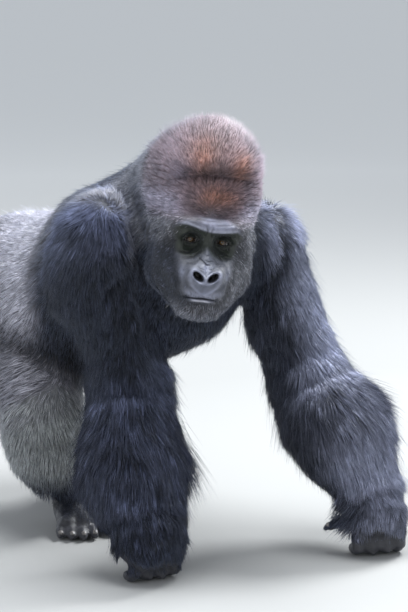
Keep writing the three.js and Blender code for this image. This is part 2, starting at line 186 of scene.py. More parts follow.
finer = {"face": (0.12, 3.2, 1.1), "limb": (0.11, 1.8, 0.42)}  # radius, times finer, and reach
lenses = [[onHead(0, 20, -45), *finer["face"]]]
for s in ("right", "left"):
    for n, high in (("hand", 0.05), ("foot", 0.03)):
        low, top = (np.array(c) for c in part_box(f"{n}_{s}"))
        lenses.append([np.array([*((low + top) / 2)[:2], high]), *finer["limb"]])
for i, lens in enumerate(lenses):
    for later in lenses[i + 1 :]:
        later[0] = magnify(later[0][None], *lens)[0]


# The flesh as one body.
body = {"swell": 0.8, "voxel": 6.6}  # mm
fillings = {  # place on the head, half sizes and segments of what lies behind each
    "eye": ((34, 10, 0), (26, 12, 15), (24, 16)),
    "nostril": ((18, -60, -68), (13, 13, 12), (16, 12)),
}
fleshNames = [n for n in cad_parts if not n.startswith(("eye", "nail"))]
flesh = bmesh.new()
nodeLayer = flesh.faces.layers.int.new("node")
for i, name in enumerate(fleshNames):
    before = len(flesh.faces)
    flesh.from_mesh(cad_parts[name].data)
    flesh.faces.ensure_lookup_table()
    for face in flesh.faces[before:]:
        face[nodeLayer] = i
bmesh.ops.remove_doubles(flesh, verts=flesh.verts, dist=0.01 * mm)
flesh.normal_update()
for v in flesh.verts:
    v.co += v.normal * body["swell"] * mm
flesh.faces.ensure_lookup_table()
faceNode = np.array([f[nodeLayer] for f in flesh.faces])
fleshTree = BVHTree.FromBMesh(flesh)
for s in (-1, 1):
    for (side, back, up), (a, b, c), (around, rows) in fillings.values():
        place = Matrix.Translation(Vector(onHead(s * side, back, up))) @ headTurn.to_4x4()
        place = place @ Matrix.Diagonal((a * mm, b * mm, c * mm, 1))
        bmesh.ops.create_uvsphere(flesh, u_segments=around, v_segments=rows, radius=1, matrix=place)
fleshMesh = bpy.data.meshes.new("flesh")
flesh.to_mesh(fleshMesh)
flesh.free()

spread = pointsOf(fleshMesh)
for lens in lenses:
    spread = magnify(spread, *lens)
setPoints(fleshMesh, spread)
fleshObject = newObject("flesh", fleshMesh)
voxels = fleshObject.modifiers.new("voxels", "REMESH")
voxels.mode = "VOXEL"
voxels.voxel_size = body["voxel"] * mm
skinMesh = applied(fleshObject)
bpy.data.objects.remove(fleshObject)
skinMesh.name = "skin"
spread = pointsOf(skinMesh)
for lens in lenses[::-1]:
    spread = magnify(spread, *lens, back=True)
setPoints(skinMesh, spread)
print("skin", len(skinMesh.vertices), "points")


# Where the face has no hair: brow, sockets, nose and the sides of the muzzle.
def bareFace(inHead):
    x, y, z = inHead.T
    across = abs(x + faceAside)
    edge = 68 + 8 * hill(z, 20, 20) - 16 * ease(-z, 10, 90)
    bare = ease(edge - across, -8, 12) * ease(57 - 0.0042 * across**2 - z, -8, 9) * ease(z, -118, -98)
    lips = hill(z, -115, 7) * ease(34 - abs(x + 3), 0, 14)
    return np.clip(bare + lips, 0, 1) * ease(-y, -62, -36)


# Short hair all round the bare part.
def shortFace(inHead):
    return ease(-inHead[:, 1], -88, -30) * ease(58 - inHead[:, 2], -14, 12)


def regionOf(points):
    nearest = [fleshTree.find_nearest(Vector(p))[2] for p in points]
    region = faceNode[np.array(nearest)]
    return region, {name: region == i for i, name in enumerate(fleshNames)}


points = pointsOf(skinMesh)
region, isNode = regionOf(points)


def nodesNamed(start):
    return np.any([m for n, m in isNode.items() if n.startswith(start)], axis=0)


fine = nodesNamed(("hand", "thumb", "foot", "big_toe", "ear"))
fine &= ~(nodesNamed("hand") & (points[:, 2] > 0.088))
edges = edgesOf(skinMesh)
inHead = toHead(points)
faceZone = ease(-inHead[:, 1], -95, -40) * nodesNamed("head")
softness = relax(np.where(fine, 0.1, 0.5)[:, None], edges, 6)
softness = softness * (1 - 0.2 * faceZone[:, None])
points = relax(points, edges, 26, softness)
setPoints(skinMesh, points)
print("smoothed")

# How deep the coat lies over the skin, in mm, part by part.
coatDepth = {
    "head": 11, "neck": 13, "chest": 13, "belly": 13, "rump": 14, "upper_arm": 20, "forearm": 27,
    "thigh": 16, "shank": 14, "hand": 1.5, "foot": 1, "thumb": 0.5, "big_toe": 0.5, "ear": 0.5,
}
depth = np.zeros(len(points))
for start, value in coatDepth.items():
    depth[nodesNamed(start)] = value
height = points[:, 2]
depth += isNode["hand_right"] * 17 * ease(height, 0.03, 0.1)
depth += isNode["hand_left"] * 14 * ease(height, 0.05, 0.13)
depth += nodesNamed("foot") * 9 * ease(height, 0.04, 0.085)
depth *= 1 - 0.4 * nodesNamed("forearm") * ease(0.22 - height, 0, 0.09)
depth += 5 * nodesNamed("head") * ease(inHead[:, 2], 70, 120)
depth = relax(depth[:, None], edges, 14)[:, 0]
depth *= 1 - 0.62 * shortFace(inHead)
depth *= 1 - bareFace(inHead)
points = points - normalsOf(skinMesh) * depth[:, None] * mm
points = relax(points, edges, 6, softness * 0.8)
setPoints(skinMesh, points)
mark(skinMesh, "depth", depth)

# Finer faces where the face has its folds.
face = bmesh.new()
face.from_mesh(skinMesh)
inHead = toHead(points)
foldZones = {  # their middles across and up, then their half sizes
    "eye": (34, -4, 32, 30), "nose": (0, -66, 48, 42), "mouth": (0, -114, 52, 14),
}


def isFine(v):
    x, y, z = inHead[v.index]
    gaps = [
        ((abs(x) - side) / wide) ** 2 + ((z - up) / tall) ** 2
        for side, up, wide, tall in foldZones.values()
    ]
    return y < 42 and min(gaps) < 1


chosen = [e for e in face.edges if isFine(e.verts[0]) and isFine(e.verts[1])]
bmesh.ops.subdivide_edges(face, edges=chosen, cuts=1, use_grid_fill=True)
bmesh.ops.triangulate(face, faces=[f for f in face.faces if len(f.verts) > 4])
face.to_mesh(skinMesh)
face.free()
edges = edgesOf(skinMesh)
points = pointsOf(skinMesh)
print("face cut finer:", len(points), "points")


# How far each point is from a line through the knots, and how far along it.
def curveGap(x, z, knots):
    best = np.full(len(x), 1e3)
    where = np.zeros(len(x))
    for i, ((ax, az), (bx, bz)) in enumerate(zip(knots, knots[1:])):
        length = (bx - ax) ** 2 + (bz - az) ** 2
        t = np.clip(((x - ax) * (bx - ax) + (z - az) * (bz - az)) / length, 0, 1)
        gap = np.hypot(x - ax - t * (bx - ax), z - az - t * (bz - az))
        closer = gap < best
        best = np.where(closer, gap, best)
        where = np.where(closer, (i + t) / (len(knots) - 1), where)
    return best, where


def fold(x, z, knots, width, deep):
    gap, along = curveGap(x, z, knots)
    fading = np.sqrt(np.clip(np.sin(np.pi * (0.08 + 0.84 * along)), 0, 1))
    return -deep * np.exp(-((gap / width) ** 2)) * fading


# The lower edge of the brow, uneven from side to side.
def browEdge(x):
    places = [-84, -64, -47, -30, -17, 5, 20, 35, 61, 80]
    return np.interp(x, places, [22, 34, 35, 31, 27, 23, 23, 24, 28, 18])


nostrils = {  # middle, slope in degrees, then the half sizes of the hollow and of its dark colour
    "side": 15.5, "up": -66.5, "slope": 37, "hollow": (12.8, 6.2), "dark": (12.5, 7.2),
}


# How many half sizes away a point is from the nearer nostril, which slopes up and outwards.
def nostrilRings(across, z, halfSizes):
    slope = math.radians(nostrils["slope"])
    side, up = across - nostrils["side"], z - nostrils["up"]
    longways = side * math.cos(slope) + up * math.sin(slope)
    crossways = up * math.cos(slope) - side * math.sin(slope)
    return np.hypot(longways / halfSizes[0], crossways / halfSizes[1])


def mouthLine(across):
    return -112.5 - 0.06 * across


def crownFold(x):
    return 136 - 0.0023 * (x - 15) ** 2


# The face's folds, as heights over the front of the head, in the head's own mm.
wrinkles = {  # the points that each runs through, across and up, then its width and its depth
    "brow": (
        ([(-44, 70), (-25, 62), (-12, 56), (12, 55), (30, 56), (46, 60)], 3.2, 6.5),
        ([(-84, 47), (-64, 53), (-44, 58)], 2, 2),
        ([(-52, 52), (-36, 47), (-20, 50)], 1.7, 2),
        ([(-30, 50), (-6, 46), (22, 48)], 1.6, 1.7),
        ([(-24, 42), (-10, 37), (-2, 39)], 1.5, 1.5),
        ([(10, 39), (34, 41), (58, 46)], 1.6, 1.7),
        ([(-7, 36), (-3, 24), (-6, 10)], 2, 2.6),
        ([(7, 35), (4, 23), (6, 11)], 2, 2.4),
        ([(-30, 26), (-44, 28), (-60, 22)], 2, 2),
        ([(20, 16), (38, 19), (58, 14)], 2, 2),
        ([(-66, 26), (-74, 8), (-68, -14)], 3, 2.4),
        ([(64, 18), (70, 2), (64, -16)], 3, 2.4),
    ),
    "eyes": (
        ([(-57, -27), (-34, -25), (-13, -9)], 1.9, 3.4),
        ([(-49, -38), (-26, -32), (-10, -15)], 1.9, 2.8),
        ([(-40, -46), (-24, -41), (-12, -30)], 1.5, 1.4),
        ([(9, -9), (20, -21), (34, -32)], 2.1, 4),
        ([(14, -7), (30, -17), (52, -24)], 1.7, 2.4),
        ([(22, -15), (40, -27), (58, -31)], 1.7, 2),
        ([(-17, -30), (-7, -37), (0, -42), (8, -42)], 1.6, 2.4),
        ([(-8, -20), (0, -25), (9, -22)], 1.5, 1.4),
        ([(-62, -4), (-76, -12)], 1.8, 1.8),
        ([(58, 0), (72, -6)], 1.8, 1.8),
        ([(-20, -44), (-13, -50), (-3, -51)], 1.3, 1.2),
        ([(4, -49), (12, -50), (20, -45)], 1.3, 1.2),
        ([(-2, -33), (4, -36), (14, -34)], 1.3, 1.4),
        ([(14, -28), (22, -38), (30, -42)], 1.5, 1.8),
        ([(-30, -52), (-36, -58), (-38, -66)], 1.6, 1.6),
        ([(-28, -100), (-24, -106), (-26, -111)], 1.5, 1.2),
        ([(20, -99), (18, -105), (20, -110)], 1.5, 1.2),
    ),
}
inHead = toHead(points)
x, y, z = inHead.T
x = x + faceAside
across = abs(x)
front = ease(-y, -70, -30)
out = np.zeros(len(points))  # forward
creases = np.zeros(len(points))
# Brow: a heavy bar over deep sockets, a deep crease above it, and finer ones beside.
browLow = browEdge(x)
out += 6 * hill(z, browLow + 12, 10) * ease(88 - across, 0, 34)
out += 2 * hill(z, browLow + 3, 3) * ease(70 - across, 0, 24)
out -= 7 * hill(z, browLow - 11, 7.5) * hill(across, 38, 26)
out -= 2.5 * hill(x, 0, 9) * hill(z, 30, 10)
for knots, width, deep in wrinkles["brow"]:
    creases += fold(x, z, knots, width, deep)
# Nose: a ridge, then a broad plate, shaped like a heart, whose rims stand up round the nostrils.
out += 3 * hill(x, 0, 9) * ease(4 - z, 0, 20) * ease(z, -60, -36)
plate = np.hypot((across - 17) / 22, (z + 66) / 24)
out += 4.5 * hill(plate, 0.72, 0.3) * ease(z, -104, -86)
out -= 5 * hill(plate, 1.25, 0.22) * ease(across, 16, 28) * ease(z, -98, -84)
out += fold(across, z, [(36, -82), (27, -93), (14, -101), (0, -106)], 5, -3)
out -= 2.2 * hill(x, 0, 3) * hill(z, -46, 12)
out += 2.4 * hill(x, 0, 5) * hill(z, -72, 12)
out -= 2 * hill(x, 0, 5) * hill(z, -92, 7)
nostril = nostrilRings(across, z, nostrils["hollow"])
out += 3 * hill(nostril, 1.5, 0.32)
out -= 27 * ease(1.12 - nostril, 0, 0.4)
# Lips and chin.
lipLine = mouthLine(across) + 1.2 * hill(x, 0, 9)
out += 2.6 * hill(z, lipLine + 7, 5.5) * ease(46 - across, 0, 14)
out += 5 * hill(z, lipLine - 6.5, 5) * ease(34 - abs(x + 3), 0, 14)
out -= 7 * hill(z, lipLine, 1.9) * ease(38 - abs(x + 3), 0, 12)
out -= 3 * hill(z, -131, 5) * ease(34 - across, 0, 20)
# Under the eyes and across the bridge, uneven from side to side.
for knots, width, deep in wrinkles["eyes"]:
    creases += fold(x, z, knots, width, deep * 1.35)
for s in (-1, 1):
    side = x * s
    out += fold(side, z, [(43, -44), (50, -66), (53, -90), (45, -114)], 4, 3.2)
    out += fold(side, z, [(60, -40), (66, -58), (64, -78)], 3, 1.6)
out += creases
forward = -headAxes[:, 1]
onFace = (y < 75) & (z < 74) & (z > -190) & (across < 100)
# The crown's pad of hair hangs over the forehead in a crease.
foldLine = crownFold(x)
crownStep = 5 * hill(z, foldLine + 22, 16) - 8 * hill(z, foldLine, 8) - 2 * hill(z, foldLine - 24, 14)
crownStep *= ease(110 - across, 0, 40) * ease(80 - y, 0, 60)
crownStep *= (abs(inHead[:, 0]) < 130) & (y < 90) & (z > 40) & (z < 260)
points = points + (np.where(onFace, out * front, 0) + crownStep)[:, None] * mm * forward
# The crown is narrower on its right.
inward = 13 * ease(-x, 50, 105) * ease(z, 50, 100) * ease(150 - y, 0, 60) * (z < 260)
points = points + inward[:, None] * mm * headAxes[:, 0]

# Lids: skin laid over each eyeball, open between two curved edges, in folds above and below.
eyeSize = {"radius": 12, "lid": 1.5, "forward": 7, "halfWide": 15, "up": 5.2, "down": 4.6}  # mm
lidEdge = np.zeros(len(points))
for s in (-1, 1):
    inHead = toHead(points)
    u = (inHead[:, 0] - s * head["eyeSide"]) * s  # towards the ear
    v = inHead[:, 2] + 0.06 * u
    far = np.hypot(u, v)
    radius = eyeSize["radius"] + eyeSize["lid"]
    middle = head["eyeDepth"] - eyeSize["forward"]
    ball = middle - np.sqrt(np.maximum(radius**2 - far**2, 0))  # the lid's depth in the head
    ball = np.where(far < radius * 0.8, ball, middle - radius * 0.6 - (far - radius * 0.8) * 0.25)
    lean = u / eyeSize["halfWide"]
    upper = eyeSize["up"] * np.sqrt(np.clip(1 - lean**2, 0, 1)) ** 1.1
    lower = -eyeSize["down"] * np.sqrt(np.clip(1 - lean**2, 0, 1)) ** 1.3
    inside = np.minimum(upper - v, v - lower)
    inside = np.where(abs(lean) < 1, inside, -(abs(lean) - 1) * eyeSize["halfWide"])
    rim = 1.3 * hill(inside, -1.4, 1.4)  # the lid's thicker edge
    folds = 2.2 * hill(v, upper + 6, 1.5) * hill(u, 0, 14)
    folds += 1.8 * hill(v, upper + 10, 1.6) * hill(u, 3, 14)
    folds += 1.5 * hill(v, lower - 4.5, 1.1) * hill(u, 0, 13)
    folds += 1.6 * hill(v, lower - 8.5, 1.3) * hill(u, 1, 15)
    folds += 2 * hill(v, -0.1 * abs(u), 1.3) * ease(abs(u), 11, 14) * ease(24 - abs(u), 0, 8)
    opened = ball - rim + folds + ease(inside, -0.2, 1.0) * 6
    blend = ease(22 - np.hypot(u / 1.15, v / np.where(v < 0, 1.25, 1)), 0, 10) * (inHead[:, 1] < 45)
    lidEdge = np.maximum(lidEdge, hill(inside, -0.6, 1.5) * blend)
    creases -= 2 * folds * blend
    target = inHead[:, 1] * (1 - blend) + opened * blend
    points = points + ((target - inHead[:, 1]) * mm)[:, None] * headAxes[:, 1]
setPoints(skinMesh, points)
print("face shaped")

shadeSmooth(skinMesh)
skin = newObject("skin", skinMesh)
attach(skin, "root")
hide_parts(*fleshNames)

# The coat, point by point over the skin: length, thickness, lie and markings.
normals = normalsOf(skinMesh)
edges = edgesOf(skinMesh)
region, isNode = regionOf(points)
depth = np.empty(len(points), np.float32)
skinMesh.attributes["depth"].data.foreach_get("value", depth)
inHead = toHead(points)
x, y, z = inHead.T
across = abs(x)
high = points[:, 2]
_, sy, sz = ((points - stanceShift) / mm).T
isHead = nodesNamed("head")
isNeck = nodesNamed("neck")


# Wisps: slow random waves that turn the lie a little from place to place.
def waves(points, size, count=5):
    total = np.zeros(len(points))
    for k in rng.normal(size=(count, 3)):
        total += np.sin(points @ (k / size) + rng.uniform(0, 6.3))
    return total / count**0.5


coat = {  # length, thickness in mm, and tufts for each square mm, by part
    "head": (20, 0.85, 0.14), "neck": (32, 1.1, 0.07), "chest": (36, 1.3, 0.055), "belly": (36, 1.3, 0.055),
    "rump": (42, 1.4, 0.05), "upper_arm": (50, 1.35, 0.07), "forearm": (70, 1.4, 0.075),
    "hand": (22, 1.1, 0.1), "thigh": (46, 1.4, 0.05), "shank": (44, 1.4, 0.055), "foot": (16, 0.9, 0.06),
    "thumb": (5, 0.6, 0.03), "big_toe": (5, 0.6, 0.03), "ear": (6, 0.5, 0.08),
}
length, thick, density = np.zeros((3, len(points)))
for start, values in coat.items():
    length[nodesNamed(start)], thick[nodesNamed(start)], density[nodesNamed(start)] = values
faceShort = isHead * shortFace(inHead)
length += isHead * (6 * ease(z, 125, 175) - 5 * ease(y, 60, 0) * ease(z, 130, 100))
chin = isHead * ease(-z, 118, 145)
length = length * (1 - faceShort) + (8.5 + 12 * chin) * faceShort
thick = thick * (1 - faceShort) + (0.6 + 0.15 * chin) * faceShort
thick *= 1 - 0.25 * isHead * ease(z, 50, 80)
low = ease(0.085 - high, 0, 0.05)
length = np.where(nodesNamed("hand"), 32 * (1 - low) + 12 * low, length)
length *= 1 - 0.5 * nodesNamed("forearm") * ease(0.22 - high, 0, 0.1)
# The long fringe that hangs from the back of each forearm.
rear = ease(normals @ unit(np.array((0.75, 0.3, 0))), 0.2, 0.8) * isNode["forearm_right"]
tuft = rear * hill(high, 0.285, 0.05)
longer = ease(high, 0.22, 0.28) - ease(0.22 - high, -0.02, 0.05)
length *= 1 + 0.35 * rear * longer + 0.3 * tuft
rear = ease(normals @ unit(np.array((-0.75, 0.6, -0.2))), 0.3, 0.9) * isNode["forearm_left"]
length *= 1 + rear * (0.5 * ease(high, 0.3, 0.36) - 0.45 * ease(0.3 - high, -0.02, 0.06))
# The hair that joins the left thumb to the wrist, and runs out to its tip.
thumbHair = {"around": 0.085, "joining": 56, "atRoot": 34, "atTip": 10, "thick": 1.2, "density": 0.2}
thumbPoints = pointsOf(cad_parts["thumb_left"].data)
thumbRoot = thumbPoints[np.argmax(thumbPoints[:, 2])]
thumbTip = thumbPoints[np.argmax(np.linalg.norm(thumbPoints - thumbRoot, axis=1))]
toTip = unit(thumbTip - thumbRoot)
web = ease(thumbHair["around"] - np.linalg.norm(points - thumbRoot, axis=1), 0, 0.045)
web *= ease(normals @ toTip, -0.2, 0.4)
web *= (isNode["hand_left"] | isNode["forearm_left"]) * ease(high, 0.06, 0.09)
length = length * (1 - web) + thumbHair["joining"] * web
along = np.clip((points - thumbRoot) @ toTip / np.linalg.norm(thumbTip - thumbRoot), 0, 1)
shorter = thumbHair["atRoot"] - thumbHair["atTip"]
length = np.where(isNode["thumb_left"], thumbHair["atRoot"] - shorter * along, length)
thick[isNode["thumb_left"]] = thumbHair["thick"]
density[isNode["thumb_left"]] = thumbHair["density"]

# The lie of the coat.
lie = np.zeros((len(points), 3))
flank = abs(normals[:, 0])
lie[:, 1] = 1
lie[:, 2] = -0.15 - 0.8 * flank
rump = nodesNamed("rump")
lie[rump] = [0, 0.8, -0.8]
breast = nodesNamed("chest") & (normals[:, 1] < -0.2)
lie[breast] = [0, 0.2, -1]
lie[isNeck] = unit(stance(-22, -120, 690) - onHead(0, 128, 60)) + [0, 0.1, -0.4]
for s in ("right", "left"):
    j = joints[s]
    lie[isNode[f"upper_arm_{s}"]] = unit(j["elbow"] - j["shoulder"]) + [0, 0.15, -0.1]
    lie[isNode[f"forearm_{s}"]] = unit(j["wrist"] - j["elbow"]) + [0, 0.1, -0.35]
    down = unit(j["knuckles"] - j["wrist"])
    for n in ("hand", "thumb"):
        lie[isNode[f"{n}_{s}"]] = down
    lie[isNode[f"thigh_{s}"]] = [0, 0.75, -0.75]
    lie[isNode[f"shank_{s}"]] = unit(j["ankle"] - j["knee"]) + [0, 0.35, -0.2]
    for n in ("foot", "big_toe"):
        lie[isNode[f"{n}_{s}"]] = [-0.3, -1, -0.2]
lie[isNode["thumb_left"]] = toTip
lie = lie * (1 - web[:, None]) + (toTip - [0, 0, 0.3]) * web[:, None]
whorl = np.stack([x, y + 12, z - 66], 1)  # the crown's hair runs out from the middle of the forehead
whorl[:, 1] += 0.35 * np.maximum(y, 0)
cheek = np.stack([0.35 * x / 60, 0.5 + 0 * x, -1 + 0 * x], 1)
muzzle = np.stack([0.5 * x / 40, 0.1 + 0 * x, -1 + 0 * x], 1)
toCheek = ease(34 - z, -26, 30)[:, None]
toMuzzle = (ease(-y, -40, 0) * ease(-z, 60, 100))[:, None]
headLie = unit(whorl) * (1 - toCheek) + unit(cheek) * toCheek
headLie = headLie * (1 - toMuzzle) + unit(muzzle) * toMuzzle
lie[isHead] = (headLie @ headAxes.T)[isHead]
lie[nodesNamed("ear")] = [0, 0.6, -0.6]
lie = unit(lie)

# Hair colour at its middle and tip: the coat's pattern, with painted sheen and painted shade in places.
hairColours = {
    "black": (0.0165, 0.0195, 0.034), "slate": (0.047, 0.053, 0.084), "steel": (0.118, 0.125, 0.169),
    "silver": (0.43, 0.42, 0.475), "grey": (0.155, 0.155, 0.175), "brown": (0.13, 0.095, 0.095),
    "chestnut": (0.38, 0.17, 0.11), "ash": (0.25, 0.195, 0.22),
}
black, slate, steel, silver, grey, brown, chestnut, ash = np.array(list(hairColours.values()))
colour = np.tile(black, (len(points), 1))
tip = np.tile(black * 1.7, (len(points), 1))


def tint(where, middle, end):
    where = np.clip(where, 0, 1)[:, None]
    colour[:] = colour * (1 - where) + middle * where
    tip[:] = tip * (1 - where) + end * where


trunk = nodesNamed(("chest", "belly", "rump"))
upward = ease(normals[:, 2], -0.2, 0.7)
wavy = 14 * waves(points, 0.05)
saddle = trunk * ease(sy + wavy, 45, 115)
tint(trunk * ease(sz, 620, 760) * ease(sy, -120, 60), grey, grey * 2)
tint(saddle, silver * 1.3, silver * 1.7)
# the lower trunk's coat is near black, darker than the black hair: partly its own colour, partly painted
# shade under the body
tint(trunk * ease(530 - sz, -20, 70) * (1 - rump), brown * 0.04, brown * 0.07)
thigh = nodesNamed("thigh")
tint(thigh, silver * 0.62, silver)
shank = nodesNamed("shank")
# painted reflection: the shanks' silver has a green cast
tint(shank, silver * [1.0, 1.06, 0.94], silver * [1.4, 1.5, 1.32])
tint((shank | nodesNamed("foot")) * ease(190 - sz, -10, 90), black, black * 1.5)
tint(isNeck, grey * 1.1, grey * 2.2)
# painted shade: the neck's coat is darker where it faces down, under the chin
tint(isNeck * ease(-normals[:, 2], -0.2, 0.4), black * 0.4, black)
tint(nodesNamed("chest") * ease(-sy, 150, 230), black * 0.6, black * 1.2)
tint((isNeck | nodesNamed("chest")) * ease(760 - sz, 0, 90) * ease(-sy, 50, 120), black * 0.7, slate * 0.6)
tint(nodesNamed("upper_arm"), black * 0.6, slate * 0.5)
tint(nodesNamed("forearm"), black * 1.5, slate * 1.4)
# painted sheen: the right upper arm's hair is paler where it faces up
tint(isNode["upper_arm_right"] * upward, slate * 3, slate * 5)
# painted sheen: the left arm, on the lamps' side, is paler than the right, and paler still on the
# shoulder's top, on the forearm's outer side and lower front and on the hand's front
leftArm = isNode["upper_arm_left"] | isNode["forearm_left"] | isNode["hand_left"]
tint(leftArm, slate * 0.5, steel * 0.5)
shoulderTop = isNode["upper_arm_left"] * ease(normals[:, 2] - normals[:, 1] * 0.4, 0.1, 0.8)
tint(shoulderTop, steel * 3.2, steel * 4.4)
outer = ease(normals @ unit(np.array([0.3, -0.8, 0.5])), 0.2, 0.9)
tint(isNode["forearm_left"] * outer * 0.9, steel * 1.3, steel * 2.6)
toFront = ease(-normals[:, 1], 0.1, 0.8)
tint(isNode["forearm_left"] * ease(300 - sz, -60, 60) * toFront, steel * 2.2, steel * 3.8)
tint(isNode["hand_left"] * toFront, steel * 1.3, steel * 2.4)
tint(isHead, grey * 0.75, grey * 1.6)
left = ease(x, -30, 50)  # the cheek on its left is greyer, on its right darker
tint(isHead * ease(-z, -10, 30), grey * 0.6, grey * 1.2)
# painted shade: the right side of the lower face, away from the lamps, is darker
tint(isHead * ease(-z, -10, 30) * (1 - left), slate * 0.3, steel * 0.35)
top = isHead * ease(z, 30, 62)
tint(top, [0.24, 0.18, 0.21], ash)
tint(top * ease(100 - z, 0, 30) * ease(across, 40, 80), [0.31, 0.28, 0.35], [0.43, 0.4, 0.5])
tint(top * ease(x, 45, 90) * ease(z, 110, 150), [0.26, 0.2, 0.235], [0.34, 0.27, 0.32])
patchy = np.clip(0.75 + 0.35 * waves(points, 0.012), 0, 1)
tint(top * hill(x, 6, 60) * ease(z, 125, 150) * 0.6, [0.29, 0.18, 0.17], [0.34, 0.24, 0.24])
tint(top * ease(z, 175, 225), [0.19, 0.14, 0.15], [0.24, 0.19, 0.21])
# painted shade: the crown's top on its left is darkened against the sheen of the lamp beside it
tint(top * ease(x, 20, 70) * ease(z, 150, 190), [0.14, 0.105, 0.12], [0.17, 0.135, 0.155])
for at, up, wide, tall in ((-22, 158, 22, 34), (46, 146, 20, 26), (-8, 100, 26, 24), (22, 88, 30, 18)):
    patch = np.exp(-(((x - at) / wide) ** 2) - ((z - up) / tall) ** 2)
    tint(top * patch * patchy, chestnut, chestnut * 1.15 + 0.03)
foldLine = crownFold(x + faceAside)
toFace = isHead * ease(60 - y, 0, 60)
# painted shadow in the crease under the crown's pad of hair
tint(toFace * hill(z, foldLine, 9) * ease(110 - across, 0, 40) * 0.85, brown * 0.25, brown * 0.7)
shadow = np.exp(-(((x + 74) / 30) ** 2) - ((z - foldLine - 10) / 15) ** 2)
tint(toFace * shadow * 0.9, slate * 0.9, slate * 2.2)
tint(isHead * hill(z, 66, 9) * ease(60 - across, 0, 30) * ease(-y, -60, -10) * 0.5, brown * 0.5, brown)
tint(isHead * ease(y + 12 * waves(points, 0.02), 75, 190), grey * 0.9, grey * 1.8)
tint(isHead * ease(-z, 118, 136) * ease(-y, -20, 20) * 0.8, grey * 0.9, grey * 1.8)
fields = np.column_stack([length, thick, density, lie, colour, tip])
fields = relax(fields, edges, 9)
bareNow = isHead * bareFace(inHead)
palms = nodesNamed(("hand", "foot", "thumb", "big_toe")) * ease(-normals[:, 2], 0.1, 0.4)
knuckle = isNode["hand_right"] * ease(0.026 - points[:, 2], -0.006, 0.01)
knuckle += isNode["hand_left"] * ease(0.048 - points[:, 2], -0.01, 0.016)
knuckle += nodesNamed("thumb") * 0.9
knuckle *= 1 - 0.8 * isNode["thumb_left"]
toes = nodesNamed(("foot", "big_toe")) * ease(0.05 - points[:, 2], -0.01, 0.02)
hairy = (1 - 0.97 * bareNow) * (1 - palms) * (1 - knuckle) * (1 - toes)
fields[:, 2] *= np.where(nodesNamed(("hand", "foot")), ease(hairy, 0.2, 0.7), hairy)
stand = isHead * ease(z, 120, 165) * ease(170 - y, 0, 60) + 0.5 * tuft + 0.9 * web  # how far hair stands up
stand = relax(stand[:, None], edges, 9)
fields = np.column_stack([fields, stand])
print("coat planned")

# Tufts: each a closed sliver of five points, bent once, flat to the skin.
skinMesh.calc_loop_triangles()
flat = np.empty(len(skinMesh.loop_triangles) * 3, np.int32)
skinMesh.loop_triangles.foreach_get("vertices", flat)
triangles = flat.reshape(-1, 3)
corner = points[triangles]
area = np.linalg.norm(np.cross(corner[:, 1] - corner[:, 0], corner[:, 2] - corner[:, 0]), axis=1) / 2
triangleNode = region[triangles[:, 0]]
pieces = {  # how its nodes' names start, its slot, and its number of tufts
    "coat_face": (("head", "ear"), "coat", 21000),
    "coat_crown": (("head", "ear"), "crown", 26000),
    "coat_neck": (("neck",), "coat", 22000),
    "coat_chest": (("chest",), "coat", 23000),
    "coat_back": (("belly", "rump"), "saddle", 24000),
    "coat_upper_arm_right": (("upper_arm_right",), "coat", 26000),
    "coat_forearm_right": (("forearm_right", "hand_right", "thumb_right"), "coat", 26000),
    "coat_upper_arm_left": (("upper_arm_left",), "coat", 20500),
    "coat_forearm_left": (("forearm_left", "hand_left", "thumb_left"), "coat", 26000),
    "coat_leg_right": (("thigh_right", "shank_right", "foot_right", "big_toe_right"), "saddle", 18500),
    "coat_leg_left": (("thigh_left", "shank_left", "foot_left", "big_toe_left"), "saddle", 15500),
}


unwrap = {"faces": 1500, "square": 0.0015}  # of the coarse copy, and half of each tuft's square on it


# A coarse copy of that part of the skin, unwrapped, on which each root finds its place.
def unwrapOf(name, chosen):
    used, back = np.unique(triangles[chosen], return_inverse=True)
    mesh = bpy.data.meshes.new(name)
    mesh.from_pydata(points[used].tolist(), [], back.reshape(-1, 3).tolist())
    made = newObject(name, mesh)
    fewer = made.modifiers.new("fewer", "DECIMATE")
    fewer.ratio = min(1, unwrap["faces"] / len(chosen))
    coarse = applied(made)
    made.modifiers.clear()
    made.data = coarse
    bpy.context.view_layer.objects.active = made
    made.select_set(True)
    bpy.ops.object.mode_set(mode="EDIT")
    bpy.ops.mesh.select_all(action="SELECT")
    bpy.ops.mesh.quads_convert_to_tris()
    bpy.ops.uv.smart_project(angle_limit=math.radians(66), island_margin=0.01)
    bpy.ops.object.mode_set(mode="OBJECT")
    uv = np.empty(len(coarse.loops) * 2, np.float32)
    coarse.uv_layers.active.data.foreach_get("uv", uv)
    loops = np.array([p.vertices for p in coarse.polygons])
    places = pointsOf(coarse)
    tree = BVHTree.FromPolygons(places.tolist(), loops.tolist())
    bpy.data.objects.remove(made)
    return tree, places[loops], uv.reshape(-1, 3, 2)


def placesOn(coarseCopy, roots):
    tree, corners, uv = coarseCopy
    hits = [tree.find_nearest(Vector(r)) for r in roots]
    at = np.array([h[0] for h in hits])
    index = np.array([h[2] for h in hits])
    a, b, c = corners[index].transpose(1, 0, 2)
    n = np.cross(b - a, c - a)
    whole = np.maximum((n * n).sum(1), 1e-18)
    wb = (np.cross(at - a, c - a) * n).sum(1) / whole
    wc = (np.cross(b - a, at - a) * n).sum(1) / whole
    weights = np.clip(np.stack([1 - wb - wc, wb, wc], 1), 0, 1)
    return (uv[index] * weights[:, :, None]).sum(1)


